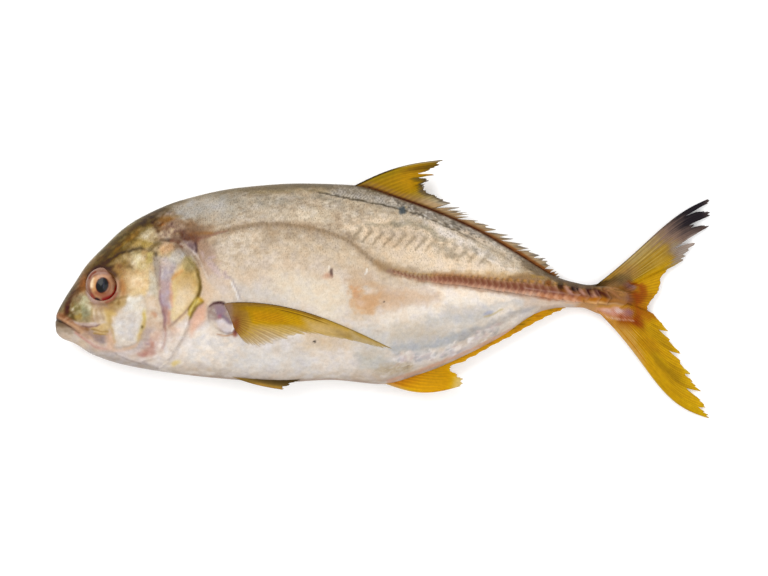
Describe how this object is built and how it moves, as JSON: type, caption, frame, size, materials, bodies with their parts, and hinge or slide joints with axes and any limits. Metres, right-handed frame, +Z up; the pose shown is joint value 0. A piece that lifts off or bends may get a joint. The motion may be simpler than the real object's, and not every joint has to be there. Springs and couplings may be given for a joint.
{
  "type": "whole raw fish",
  "caption": "Whole raw ungutted trevally lying on its right flank, with yellow fins, a scaly keel on the tail stalk and a torn forked tail.",
  "frame": {"origin": "middle of the bounding box, at its bottom, on the surface the fish lies on", "axes": "+X from the snout to the tail, +Y from the belly to the back, +Z up out of the left flank"},
  "size_m": [0.4014, 0.159, 0.0468],
  "materials": {
    "skin": "moist, silvery, with fine scales",
    "fin": "thin horny rays in a moist membrane",
    "scute": "hard bony keel plates, satin",
    "eye": "wet and glossy"
  },
  "bodies": {
    "root": {"fish": "skin", "eye_left": "eye", "eye_right": "eye"}
  },
  "joints": []
}
